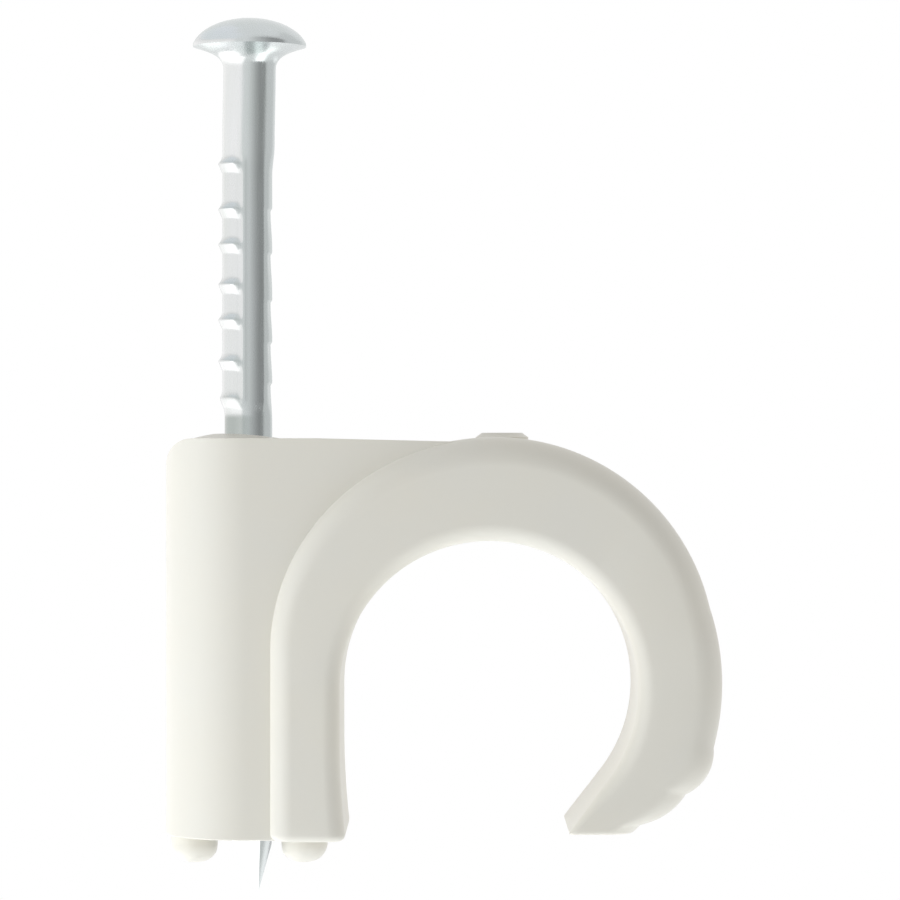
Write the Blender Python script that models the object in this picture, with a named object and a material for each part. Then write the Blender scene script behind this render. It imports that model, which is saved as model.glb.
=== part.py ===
"""Nail-in cable clip: one moulded plastic clip with its barbed, galvanised nail part-way in.

The clip is a single moulding. A round-ended barrel carries the nail, a flat web joins the
barrel to a deeper hook, and the hook arches over the cable and ends in a scalloped lip.
The nail is one forged piece: domed head, plain neck, pressed barbs and a diamond point.

Frame: the origin is on the nail's axis in the plane of the wall, where the clip's two feet
touch. +Z runs up the nail to its head, +X runs from the nail to the hook, and the whole
part is alike on both sides of the plane Y = 0.
"""
import math

import bmesh
import bpy
from mathutils import Vector

MM = 0.001

# Feet that stand the clip off the wall
FOOT_HEIGHT = 1.16 * MM
FOOT_RADIUS = 0.97 * MM
FOOT_ROUNDING = 0.56 * MM
FOOT_OFFSET = 2.22 * MM
FOOT_SEGMENTS = 24
FOOT_ROUNDING_SEGMENTS = 5

# Barrel round the nail, and the web beside it
BARREL_RADIUS = 3.4 * MM
BARREL_BELOW_CROWN = 0.05 * MM
BARREL_CORNER = 1.18 * MM
BARREL_CORNER_SEGMENTS = 6
BARREL_SEGMENTS = 48
WEB_FALL_START = 2.9 * MM
WEB_FALL = 0.17 * MM
BLOCK_SPARE = 0.5 * MM
COLLAR_HEIGHT = 0.26 * MM
COLLAR_RADIUS = 1.67 * MM
COLLAR_DEPTH = 2.5 * MM
COLLAR_OFFSET = -0.65 * MM
COLLAR_SEGMENTS = 5

# Nail hole
BORE_CLEARANCE = 0.08 * MM
BORE_SEGMENTS = 32
LEAD_IN = 0.15 * MM

# Cable seat, a round bore with an open mouth below it
SEAT_RADIUS = 5.96 * MM
SEAT_CLEARANCE = 0.08 * MM
LIP_TANGENT_ANGLE = math.radians(-37)

# Hook wall round the seat
HOOK_DEPTH = 8.4 * MM
OUTER_RIM_ROUNDING = 1.15 * MM
INNER_RIM_ROUNDING = 0.8 * MM
SMALLEST_RIM = 0.05 * MM
RIM_SHARE = 0.9
RIM_SEGMENTS = 5
LEG_START = 0.98 * MM
LEG_THICKNESS = 2.8 * MM
LEG_FLARE = 0.24 * MM
LEG_FLARE_HEIGHT = 4.0 * MM
LEG_END_ROUNDING = 0.3 * MM
LEG_SEGMENTS = 4
CROWN_THICKNESS = 4.16 * MM
CROWN_OFFSET = 0.26 * MM
SHOULDER_ABOVE_SEAT = 1.56 * MM
OUTER_THICKNESS = 2.86 * MM
HOOK_SEGMENTS = 16

# Free end of the hook: scalloped outside, with a rounded lip
LIP_HEIGHT = 0.3 * MM
LIP_END_ROUNDING = 0.25 * MM
SCALLOP_START = math.radians(13)
SCALLOP_FIRST = math.radians(-22.6)
SCALLOP_END_ABOVE_LIP = 0.34 * MM
SCALLOP_STAND_OUT = 0.66 * MM
SCALLOP_TAPER = 0.6 * MM
SCALLOP_TAPER_POWER = 3
SCALLOP_BULGES = (-0.03 * MM, 0.29 * MM, 0.17 * MM)
SCALLOP_SEGMENTS = 5

# Pip left by the moulding gate on the crown
GATE_HEIGHT = 0.18 * MM
GATE_LENGTH = 1.65 * MM
GATE_SLOPE = 0.25 * MM
GATE_OFFSET = 0.3 * MM

# Nail
SHANK_RADIUS = 0.97 * MM
NECK_RADIUS = 1.07 * MM
NAIL_LENGTH = 34.57 * MM
HEAD_RADIUS = 2.31 * MM
HEAD_DOME_HEIGHT = 1.05 * MM
HEAD_DOME_ANGLE = math.radians(76)
HEAD_RIM_HEIGHT = 0.12 * MM
HEAD_FILLET_HEIGHT = 0.72 * MM
HEAD_SEGMENTS = 6
NAIL_SEGMENTS = 36
NAIL_END_BELOW_BASE = 2.36 * MM
POINT_LENGTH = 3.2 * MM
POINT_LEAN = 0.36 * MM
POINT_TURN = math.radians(-22.5)

# Barbs pressed out of the nail's one side, by their distance below the head's rim
BARBS_BELOW_HEAD = (4.9 * MM, 6.75 * MM, 8.18 * MM, 9.82 * MM, 11.26 * MM, 12.94 * MM, 14.45 * MM)
BARB_HEIGHT = 0.17 * MM
BARB_LAST_HEIGHT = 0.1 * MM
BARB_UPPER_FLANK = 0.26 * MM
BARB_LOWER_FLANK = 0.36 * MM
BARB_SIDE_START = math.radians(12)
BARB_SIDE_FULL = math.radians(45)

# The nail's other side, pressed in and notched
PRESSED_BELOW_HEAD = 4.1 * MM
PRESSED_DEPTH = 0.1 * MM
PRESSED_RUN_IN = 1.3 * MM
PRESSED_SIDE_START = math.radians(32)
PRESSED_SIDE_FULL = math.radians(72)
NOTCHES_BELOW_HEAD = (6.77 * MM, 8.57 * MM, 10.51 * MM, 12.22 * MM, 13.88 * MM)
NOTCH_DEPTH = 0.07 * MM
NOTCH_STEP = 0.16 * MM
NOTCH_RUN_OUT = 1.5 * MM

# Where the wire bows towards the barbs, and where it is straight and slim again
BOW = 0.045 * MM
BOW_BELOW_HEAD = (0.8 * MM, 4.2 * MM)
BOW_ENDS_BELOW_HEAD = (16.0 * MM, 17.3 * MM)
NARROW_BELOW_HEAD = (14.75 * MM, 15.35 * MM)
CLOSEST_RINGS = 0.03 * MM

# How close two points are the same point
SAME = 1e-7

# Places worked out from the sizes above
BASE_Z = FOOT_HEIGHT
BORE_RADIUS = NECK_RADIUS + BARB_HEIGHT + BOW + BORE_CLEARANCE
SEAT_X = LEG_START + LEG_THICKNESS + SEAT_RADIUS
SEAT_Z = BASE_Z + SEAT_CLEARANCE + SEAT_RADIUS
CROWN_X = SEAT_X + CROWN_OFFSET
CROWN_Z = SEAT_Z + SEAT_RADIUS + CROWN_THICKNESS
BARREL_TOP_Z = CROWN_Z - BARREL_BELOW_CROWN
SHOULDER_Z = SEAT_Z + SHOULDER_ABOVE_SEAT
SHOULDER_RISE = CROWN_Z - SHOULDER_Z
OUTER_RADIUS = SEAT_RADIUS + OUTER_THICKNESS
OUTER_Z = CROWN_Z - OUTER_RADIUS
LIP_Z = BASE_Z + LIP_HEIGHT
SCALLOP_COUNT = len(SCALLOP_BULGES)
NAIL_TIP_Z = BASE_Z - NAIL_END_BELOW_BASE
HEAD_RIM_Z = NAIL_TIP_Z + NAIL_LENGTH


def clear_scene():
    for old in list(bpy.data.objects):
        bpy.data.objects.remove(old, do_unlink=True)


def material(name, colour, roughness, metallic):
    made = bpy.data.materials.new(name)
    made.use_nodes = True
    shader = made.node_tree.nodes["Principled BSDF"]
    shader.inputs["Base Color"].default_value = (*colour, 1.0)
    shader.inputs["Roughness"].default_value = roughness
    shader.inputs["Metallic"].default_value = metallic
    return made


def finished(name, bm, made_of=None):
    """Turns a bmesh into a named object with outward normals."""
    bmesh.ops.recalc_face_normals(bm, faces=bm.faces)
    mesh = bpy.data.meshes.new(name)
    bm.to_mesh(mesh)
    bm.free()
    piece = bpy.data.objects.new(name, mesh)
    bpy.context.collection.objects.link(piece)
    if made_of:
        mesh.materials.append(made_of)
    return piece


def boolean(piece, tool, operation):
    """Joins or cuts a piece with another object, which stays as a hidden guide."""
    tool.hide_render = True
    tool.display_type = "WIRE"
    step = piece.modifiers.new(tool.name, "BOOLEAN")
    step.object = tool
    step.operation = operation
    step.solver = "EXACT"


def skin(bm, rings):
    """Joins closed rings of points by bands of faces and caps the two ends."""
    loops = [[bm.verts.new(point) for point in ring] for ring in rings]
    for first, second in zip(loops, loops[1:]):
        for i in range(len(first)):
            j = i - 1
            bm.faces.new((first[j], first[i], second[i], second[j]))
    bm.faces.new(loops[0])
    bm.faces.new(loops[-1])


def at_angle(centre, radius, angle):
    return centre + Vector((math.cos(angle), math.sin(angle))) * radius


def seat_point(run):
    """The cable seat's wall in the XZ plane, by its length from the top towards the lip."""
    seat = Vector((SEAT_X, SEAT_Z))
    round_run = (math.pi / 2 - LIP_TANGENT_ANGLE) * SEAT_RADIUS
    angle = math.pi / 2 - min(run, round_run) / SEAT_RADIUS
    straight = Vector((math.sin(angle), -math.cos(angle))) * max(0.0, run - round_run)
    return at_angle(seat, SEAT_RADIUS, angle) + straight


def seat_run_to(height):
    """The length of the seat's wall from its top down to a height on the straight lip."""
    tangent_z = SEAT_Z + SEAT_RADIUS * math.sin(LIP_TANGENT_ANGLE)
    round_run = (math.pi / 2 - LIP_TANGENT_ANGLE) * SEAT_RADIUS
    return round_run + (tangent_z - height) / math.cos(LIP_TANGENT_ANGLE)


def leg_inside(height):
    """The leg's inner face, which flares a little towards the wall."""
    share = max(0.0, 1 - (height - BASE_Z) / LEG_FLARE_HEIGHT)
    return Vector((LEG_START + LEG_THICKNESS + LEG_FLARE * share * share, height))


def shoulder_point(angle):
    """Where a ray from the seat's centre leaves the hook between its leg and its crown."""
    seat = Vector((SEAT_X, SEAT_Z))
    ray = Vector((math.cos(angle), math.sin(angle)))
    wide = CROWN_X - LEG_START
    along_leg = seat + ray * (LEG_START - SEAT_X) / ray.x if ray.x else seat
    if ray.x and along_leg.y < SHOULDER_Z:
        return along_leg
    start = Vector(((SEAT_X - CROWN_X) / wide, (SEAT_Z - SHOULDER_Z) / SHOULDER_RISE))
    step = Vector((ray.x / wide, ray.y / SHOULDER_RISE))
    half = start.dot(step)
    reach = (-half + math.sqrt(half * half - step.dot(step) * (start.dot(start) - 1))) / step.dot(step)
    return seat + ray * reach


def scallop_hollow(i):
    """Angle and stand-out of a hollow between scallops; number -1 is where they begin."""
    if i < 0:
        return SCALLOP_START, 0.0
    drop = OUTER_Z - LIP_Z - SCALLOP_END_ABOVE_LIP
    end = -math.asin(drop / (OUTER_RADIUS + SCALLOP_STAND_OUT - SCALLOP_TAPER))
    share = i / (SCALLOP_COUNT - 1)
    stand_out = SCALLOP_STAND_OUT - SCALLOP_TAPER * share ** SCALLOP_TAPER_POWER
    return SCALLOP_FIRST + (end - SCALLOP_FIRST) * share, stand_out


def outside_point(i, share):
    """The scalloped outside: part of the way from hollow i - 1 to hollow i."""
    angle_0, out_0 = scallop_hollow(i - 1)
    angle_1, out_1 = scallop_hollow(i)
    out = out_0 + (out_1 - out_0) * share + SCALLOP_BULGES[i] * 4 * share * (1 - share)
    return at_angle(Vector((CROWN_X, OUTER_Z)), OUTER_RADIUS + out, angle_0 + (angle_1 - angle_0) * share)


def hook_stations():
    """Pairs of inner and outer points along the hook, from the leg's end to the lip's."""
    pairs = []
    shoulder_top = math.pi / 2
    for i in range(LEG_SEGMENTS):
        height = BASE_Z + LEG_END_ROUNDING + (SEAT_Z - BASE_Z - LEG_END_ROUNDING) * i / LEG_SEGMENTS
        pairs.append((leg_inside(height), Vector((LEG_START, height))))
    for i in range(HOOK_SEGMENTS):
        angle = math.pi - (math.pi - shoulder_top) * i / HOOK_SEGMENTS
        pairs.append((at_angle(Vector((SEAT_X, SEAT_Z)), SEAT_RADIUS, angle), shoulder_point(angle)))
    crown = Vector((CROWN_X, OUTER_Z))
    for i in range(HOOK_SEGMENTS):
        angle = shoulder_top - (shoulder_top - SCALLOP_START) * i / HOOK_SEGMENTS
        pairs.append((seat_point((math.pi / 2 - angle) * SEAT_RADIUS), at_angle(crown, OUTER_RADIUS, angle)))
    run_0 = (math.pi / 2 - SCALLOP_START) * SEAT_RADIUS
    last_hollow = outside_point(SCALLOP_COUNT - 1, 1.0)
    run_1 = seat_run_to(LIP_Z + LIP_END_ROUNDING) - (last_hollow.y - LIP_Z - LIP_END_ROUNDING)
    steps = SCALLOP_COUNT * SCALLOP_SEGMENTS
    for i in range(steps + 1):
        scallop, step = divmod(i, SCALLOP_SEGMENTS)
        if i == steps:
            scallop, step = SCALLOP_COUNT - 1, SCALLOP_SEGMENTS
        pairs.append((seat_point(run_0 + (run_1 - run_0) * i / steps),
                      outside_point(scallop, step / SCALLOP_SEGMENTS)))
    return pairs


def lip_pair(height):
    """Inner and outer points of the lip's end, level with each other."""
    last_hollow = outside_point(SCALLOP_COUNT - 1, 1.0)
    return seat_point(seat_run_to(height)), Vector((last_hollow.x - (last_hollow.y - height), height))


def section(pair, inset):
    """A rounded rectangle standing across the hook between an inner and an outer point."""
    inner, outer = pair
    across = (outer - inner).normalized()
    width = (outer - inner).length - 2 * inset
    half = HOOK_DEPTH / 2 - inset
    limit = min(1.0, RIM_SHARE * width / (OUTER_RIM_ROUNDING + INNER_RIM_ROUNDING))
    outer_r = max(OUTER_RIM_ROUNDING - inset, SMALLEST_RIM) * limit
    inner_r = max(INNER_RIM_ROUNDING - inset, SMALLEST_RIM) * limit
    corners = [(width - outer_r, half - outer_r, outer_r, 0.0),
               (inner_r, half - inner_r, inner_r, math.pi / 2),
               (inner_r, inner_r - half, inner_r, math.pi),
               (width - outer_r, outer_r - half, outer_r, 3 * math.pi / 2)]
    ring = []
    for along, side, radius, start in corners:
        for i in range(RIM_SEGMENTS + 1):
            angle = start + math.pi / 2 * i / RIM_SEGMENTS
            place = inner + across * (inset + along + radius * math.cos(angle))
            ring.append((place.x, side + radius * math.sin(angle), place.y))
    return ring


def hook():
    """The bent bar that holds the cable, lofted from the leg over the crown to the lip."""
    rings = []
    steps = RIM_SEGMENTS
    for i in range(steps):
        turn = math.pi / 2 * i / steps
        height = BASE_Z + LEG_END_ROUNDING * (1 - math.sin(turn))
        pair = (leg_inside(height), Vector((LEG_START, height)))
        rings.append(section(pair, LEG_END_ROUNDING * (1 - math.cos(turn))))
    rings.reverse()
    rings = [section((leg_inside(BASE_Z), Vector((LEG_START, BASE_Z))), LEG_END_ROUNDING)] + rings[:-1]
    rings += [section(pair, 0.0) for pair in hook_stations()]
    for i in range(steps + 1):
        turn = math.pi / 2 * i / steps
        height = LIP_Z + LIP_END_ROUNDING * (1 - math.sin(turn))
        rings.append(section(lip_pair(height), LIP_END_ROUNDING * (1 - math.cos(turn))))
    bm = bmesh.new()
    skin(bm, rings)
    return finished("hook", bm)


def barrel_and_web():
    """The round-ended upright block that carries the nail, still too tall."""
    plan = [Vector((CROWN_X, BARREL_RADIUS)), Vector((CROWN_X, -BARREL_RADIUS))]
    for i in range(BARREL_SEGMENTS + 1):
        angle = -math.pi / 2 - math.pi * i / BARREL_SEGMENTS
        plan.append(Vector((BARREL_RADIUS * math.cos(angle), BARREL_RADIUS * math.sin(angle))))
    bm = bmesh.new()
    skin(bm, [[(p.x, p.y, z) for p in plan] for z in (BASE_Z, CROWN_Z + BLOCK_SPARE)])
    return finished("clip_body", bm)


def side_view():
    """The block's shape from the front: a rounded top corner, and a top that falls to the hook."""
    left, right = -BARREL_RADIUS - BLOCK_SPARE, CROWN_X + BLOCK_SPARE
    centre = Vector((BARREL_CORNER - BARREL_RADIUS, BARREL_TOP_Z - BARREL_CORNER))
    fall = WEB_FALL * (right - WEB_FALL_START) / (CROWN_X - WEB_FALL_START)
    outline = [Vector((left, 0.0)), Vector((left, centre.y - BLOCK_SPARE))]
    for i in range(BARREL_CORNER_SEGMENTS + 1):
        angle = math.pi - math.pi / 2 * i / BARREL_CORNER_SEGMENTS
        outline.append(at_angle(centre, BARREL_CORNER, angle))
    outline += [Vector((WEB_FALL_START, BARREL_TOP_Z)), Vector((right, BARREL_TOP_Z - fall))]
    outline.append(Vector((right, 0.0)))
    bm = bmesh.new()
    skin(bm, [[(p.x, y, p.y) for p in outline] for y in (-HOOK_DEPTH, HOOK_DEPTH)])
    return finished("side_view", bm)


def cable_space():
    """What the web leaves open: the seat and mouth, grown to the middle of the hook's wall."""
    grown = SEAT_RADIUS + LEG_THICKNESS / 2
    seat = Vector((SEAT_X, SEAT_Z))
    outline = [Vector((SEAT_X - grown, 0.0)), Vector((SEAT_X + grown, 0.0))]
    steps = 2 * HOOK_SEGMENTS
    outline += [at_angle(seat, grown, math.pi * i / steps) for i in range(steps + 1)]
    bm = bmesh.new()
    skin(bm, [[(p.x, y, p.y) for p in outline] for y in (-HOOK_DEPTH, HOOK_DEPTH)])
    return finished("cable_space", bm)


def circle(centre_x, height, segments, radius_at):
    """A ring of points round an upright axis, with its radius given by angle."""
    ring = []
    for i in range(segments):
        angle = 2 * math.pi * i / segments
        radius = radius_at(angle)
        ring.append((centre_x + radius * math.cos(angle), radius * math.sin(angle), height))
    return ring


def turned(name, profile, centre_x, segments):
    """Turns a profile of (radius, height) points about an upright axis at centre_x."""
    bm = bmesh.new()
    skin(bm, [circle(centre_x, height, segments, lambda angle, r=radius: r) for radius, height in profile])
    return finished(name, bm)


def foot(name, centre_x):
    inner = FOOT_RADIUS - FOOT_ROUNDING
    profile = []
    for i in range(FOOT_ROUNDING_SEGMENTS + 1):
        angle = math.pi / 2 * i / FOOT_ROUNDING_SEGMENTS
        profile.append((inner + FOOT_ROUNDING * math.sin(angle), FOOT_ROUNDING * (1 - math.cos(angle))))
    profile.append((FOOT_RADIUS, BASE_Z + FOOT_RADIUS))
    return turned(name, profile, centre_x, FOOT_SEGMENTS)


def collar():
    """The low oval swelling round the mouth of the nail hole."""
    rings = []
    levels = [(1.0, BARREL_TOP_Z - COLLAR_HEIGHT)]
    for i in range(COLLAR_SEGMENTS):
        share = 1 - i / COLLAR_SEGMENTS
        levels.append((share, BARREL_TOP_Z + COLLAR_HEIGHT * (1 - share * share)))
    for share, height in levels:
        ring = []
        for i in range(BORE_SEGMENTS):
            angle = 2 * math.pi * i / BORE_SEGMENTS
            across = COLLAR_OFFSET + COLLAR_RADIUS * share * math.cos(angle)
            ring.append((across, COLLAR_DEPTH * share * math.sin(angle), height))
        rings.append(ring)
    bm = bmesh.new()
    skin(bm, rings)
    return finished("collar", bm)


def gate_pip():
    sunk = CROWN_Z - GATE_HEIGHT * 2
    top = CROWN_Z + GATE_HEIGHT
    centre = CROWN_X + GATE_OFFSET
    foot_radius = GATE_LENGTH / 2 + GATE_SLOPE
    return turned("gate_pip", [(foot_radius, sunk), (foot_radius, CROWN_Z), (GATE_LENGTH / 2, top)],
                  centre, BORE_SEGMENTS)


def nail_hole():
    top = BARREL_TOP_Z + COLLAR_HEIGHT
    mouth = BORE_RADIUS + LEAD_IN
    below = BASE_Z - FOOT_HEIGHT
    profile = [(BORE_RADIUS, below), (BORE_RADIUS, top - LEAD_IN), (mouth, top), (mouth, top + LEAD_IN)]
    return turned("nail_hole", profile, 0.0, BORE_SEGMENTS)


def make_clip():
    plastic = material("clip_plastic", (0.62, 0.62, 0.56), 0.42, 0.0)
    clip = barrel_and_web()
    clip.data.materials.append(plastic)
    boolean(clip, side_view(), "INTERSECT")
    boolean(clip, cable_space(), "DIFFERENCE")
    boolean(clip, hook(), "UNION")
    boolean(clip, foot("foot_barrel_side", -FOOT_OFFSET), "UNION")
    boolean(clip, foot("foot_hook_side", FOOT_OFFSET), "UNION")
    boolean(clip, collar(), "UNION")
    boolean(clip, gate_pip(), "UNION")
    boolean(clip, nail_hole(), "DIFFERENCE")
    return clip


def ease(share):
    """0 to 1 with a soft start and end."""
    share = min(1.0, max(0.0, share))
    return share * share * (3 - 2 * share)


def barb_stand(drop):
    """How far the barbs stand out at a distance below the head's rim."""
    stand = 0.0
    for place in BARBS_BELOW_HEAD:
        tall = BARB_LAST_HEIGHT if place == BARBS_BELOW_HEAD[-1] else BARB_HEIGHT
        flank = BARB_UPPER_FLANK if drop < place else BARB_LOWER_FLANK
        stand = max(stand, tall * (1 - abs(drop - place) / flank))
    return stand


def notch_sink(drop):
    """How far the notches go in there: a sudden step in and a slow way out."""
    sink = 0.0
    for place in NOTCHES_BELOW_HEAD:
        step_in = ease((drop - place) / NOTCH_STEP + 0.5)
        way_out = 1 - ease((drop - place - NOTCH_STEP / 2) / NOTCH_RUN_OUT)
        sink = max(sink, NOTCH_DEPTH * step_in * way_out)
    return sink


def shank_radius(angle, height):
    """The nail's radius: barbs stand out on the -X side, the +X side is pressed and notched."""
    drop = HEAD_RIM_Z - height
    side = math.asin(max(-1.0, min(1.0, math.cos(angle))))
    start, end = NARROW_BELOW_HEAD
    narrow = ease((drop - start) / (end - start))
    radius = NECK_RADIUS + (SHANK_RADIUS - NECK_RADIUS) * narrow
    if side < 0:
        return radius + barb_stand(drop) * ease((-side - BARB_SIDE_START) / (BARB_SIDE_FULL - BARB_SIDE_START))
    spread = ease((side - PRESSED_SIDE_START) / (PRESSED_SIDE_FULL - PRESSED_SIDE_START))
    pressed = ease((drop - PRESSED_BELOW_HEAD) / PRESSED_RUN_IN) * (1 - narrow)
    return radius - spread * (PRESSED_DEPTH * pressed + notch_sink(drop))


def shank_middle(height):
    """How far the middle of the wire is off the nail's axis."""
    drop = HEAD_RIM_Z - height
    start, full = BOW_BELOW_HEAD
    end, gone = BOW_ENDS_BELOW_HEAD
    return -BOW * ease((drop - start) / (full - start)) * (1 - ease((drop - end) / (gone - end)))


def shank_stations():
    """Heights of the shank's rings, from the neck under the head down past the point."""
    drops = [HEAD_RIM_HEIGHT + HEAD_FILLET_HEIGHT, HEAD_RIM_Z - NAIL_TIP_Z + SHANK_RADIUS]
    drops += [BOW_BELOW_HEAD[1] / 2, PRESSED_BELOW_HEAD, PRESSED_BELOW_HEAD + PRESSED_RUN_IN]
    drops += NARROW_BELOW_HEAD + BOW_ENDS_BELOW_HEAD
    for place in BARBS_BELOW_HEAD:
        drops += (place - BARB_UPPER_FLANK, place, place + BARB_LOWER_FLANK)
    for place in NOTCHES_BELOW_HEAD:
        drops += (place - NOTCH_STEP / 2, place + NOTCH_STEP / 2)
    kept = []
    for drop in sorted(drops):
        if not kept or drop - kept[-1] > CLOSEST_RINGS:
            kept.append(drop)
    return [HEAD_RIM_Z - drop for drop in kept]


def head_profile():
    """(radius, height) from the middle of the dome down to the fillet under the head."""
    dome = []
    for i in range(1, HEAD_SEGMENTS + 1):
        angle = HEAD_DOME_ANGLE * i / HEAD_SEGMENTS
        rise = (math.cos(angle) - math.cos(HEAD_DOME_ANGLE)) / (1 - math.cos(HEAD_DOME_ANGLE))
        dome.append((HEAD_RADIUS * math.sin(angle) / math.sin(HEAD_DOME_ANGLE),
                     HEAD_RIM_Z + HEAD_DOME_HEIGHT * rise))
    rim_z = HEAD_RIM_Z - HEAD_RIM_HEIGHT
    fillet = []
    for i in range(HEAD_SEGMENTS):
        angle = math.pi / 2 * i / HEAD_SEGMENTS
        radius = HEAD_RADIUS - (HEAD_RADIUS - NECK_RADIUS) * math.sin(angle)
        fillet.append((radius, rim_z - HEAD_FILLET_HEIGHT * (1 - math.cos(angle))))
    return dome + fillet


def cut_point(bm):
    """Shears the shank to a leaning point with four flat facets."""
    tip = Vector((POINT_LEAN, 0.0, NAIL_TIP_Z))
    for i in range(4):
        angle = POINT_TURN - i * math.pi / 2
        outward = Vector((math.cos(angle), math.sin(angle), 0.0))
        width = SHANK_RADIUS - tip.dot(outward)
        normal = (outward * POINT_LENGTH - Vector((0.0, 0.0, width))).normalized()
        geometry = bm.verts[:] + bm.edges[:] + bm.faces[:]
        cut = bmesh.ops.bisect_plane(bm, geom=geometry, dist=SAME, plane_co=tip, plane_no=normal,
                                     clear_outer=True)["geom_cut"]
        rim = [e for e in cut if isinstance(e, bmesh.types.BMEdge)]
        bmesh.ops.edgeloop_fill(bm, edges=rim)


def make_nail():
    steel = material("nail_zinc", (0.66, 0.68, 0.69), 0.3, 1.0)
    rings = []
    for radius, height in head_profile():
        rings.append(circle(0.0, height, NAIL_SEGMENTS, lambda angle, r=radius: r))
    for height in shank_stations():
        middle = shank_middle(height)
        rings.append(circle(middle, height, NAIL_SEGMENTS, lambda angle, z=height: shank_radius(angle, z)))
    bm = bmesh.new()
    skin(bm, rings)
    bmesh.ops.recalc_face_normals(bm, faces=bm.faces)
    cut_point(bm)
    return finished("nail", bm, steel)


def shade(piece, angle):
    piece.data.shade_smooth()
    piece.data.set_sharp_from_angle(angle=math.radians(angle))


clear_scene()
shade(make_clip(), 35)
shade(make_nail(), 35)
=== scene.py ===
"""Nail-in cable clip: the moulded clip and its barbed nail, dressed for a plain studio picture.

Every size is in metres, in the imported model's own frame: the origin is on the nail's axis in
the plane of the wall, +Z runs up the nail to its head and +X runs from the nail to the hook.
"""
import math

import bmesh
import bpy
from mathutils import Matrix, Vector
from mathutils.geometry import interpolate_bezier


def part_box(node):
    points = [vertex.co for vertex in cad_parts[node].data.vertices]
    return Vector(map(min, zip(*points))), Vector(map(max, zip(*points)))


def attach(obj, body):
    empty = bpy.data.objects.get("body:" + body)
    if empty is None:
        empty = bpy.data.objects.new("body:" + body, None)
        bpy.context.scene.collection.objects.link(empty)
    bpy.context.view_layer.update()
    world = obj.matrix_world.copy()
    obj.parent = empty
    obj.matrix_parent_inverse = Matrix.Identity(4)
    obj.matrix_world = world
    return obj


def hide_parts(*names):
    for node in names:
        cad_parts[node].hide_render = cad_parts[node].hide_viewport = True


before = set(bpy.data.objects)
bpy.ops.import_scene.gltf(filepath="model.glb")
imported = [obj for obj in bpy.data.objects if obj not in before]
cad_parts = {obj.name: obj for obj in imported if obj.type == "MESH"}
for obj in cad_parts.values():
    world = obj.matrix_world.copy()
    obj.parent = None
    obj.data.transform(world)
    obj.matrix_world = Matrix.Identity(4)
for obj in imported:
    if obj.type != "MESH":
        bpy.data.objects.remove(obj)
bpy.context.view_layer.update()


CLIP_LOW, CLIP_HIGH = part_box("clip_body")
NAIL_LOW, NAIL_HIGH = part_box("nail")

bl_info = {
    "name": "Nail-in Cable Clip",
    "version": (1, 0, 0),
    "blender": (4, 5, 0),
    "location": "View3D > Sidebar > Cable Clip",
    "description": "Models a moulded cable clip with its barbed nail and a plain studio round them",
    "category": "Object",
}

# How fine the curved surfaces are, and how close two points are the same point
ROUND_STEPS = 96
ARC_STEPS = 44
LEG_STEPS = 10
SCALLOP_STEPS = 14
RIM_STEPS = 9
BEVEL_STEPS = 6
TOP_RIM_STEPS = 5
DOME_STEPS = 16
SAME = 1e-7
SHARP_ANGLE = math.radians(38)
# The most of the hook's thickness that its two rims may take up together
RIM_SHARE = 0.9
# Turns a flat shape from the XY plane to the XZ plane
STAND_UP = Matrix.Rotation(math.pi / 2, 4, "X")
# A face that looks up at least this much belongs to the block's top
UPWARD = 0.01


def length(name, description, default):
    """A size in metres that the user can change."""
    return bpy.props.FloatProperty(name=name, description=description, default=default, precision=6,
                                   unit="LENGTH", subtype="DISTANCE")


def turn(name, description, degrees):
    """An angle that the user can change."""
    return bpy.props.FloatProperty(name=name, description=description, default=math.radians(degrees),
                                   unit="ROTATION", subtype="ANGLE")


def lengths(name, description, default):
    """A row of sizes in metres that the user can change."""
    return bpy.props.FloatVectorProperty(name=name, description=description, default=default, precision=6,
                                         size=len(default), unit="LENGTH")


def amount(name, description, default):
    """A plain number that the user can change."""
    return bpy.props.FloatProperty(name=name, description=description, default=default, precision=4)


def colour(name, description, default):
    """A colour that the user can change."""
    return bpy.props.FloatVectorProperty(name=name, description=description, default=default, size=3,
                                         min=0.0, max=1.0, subtype="COLOR")


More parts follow.
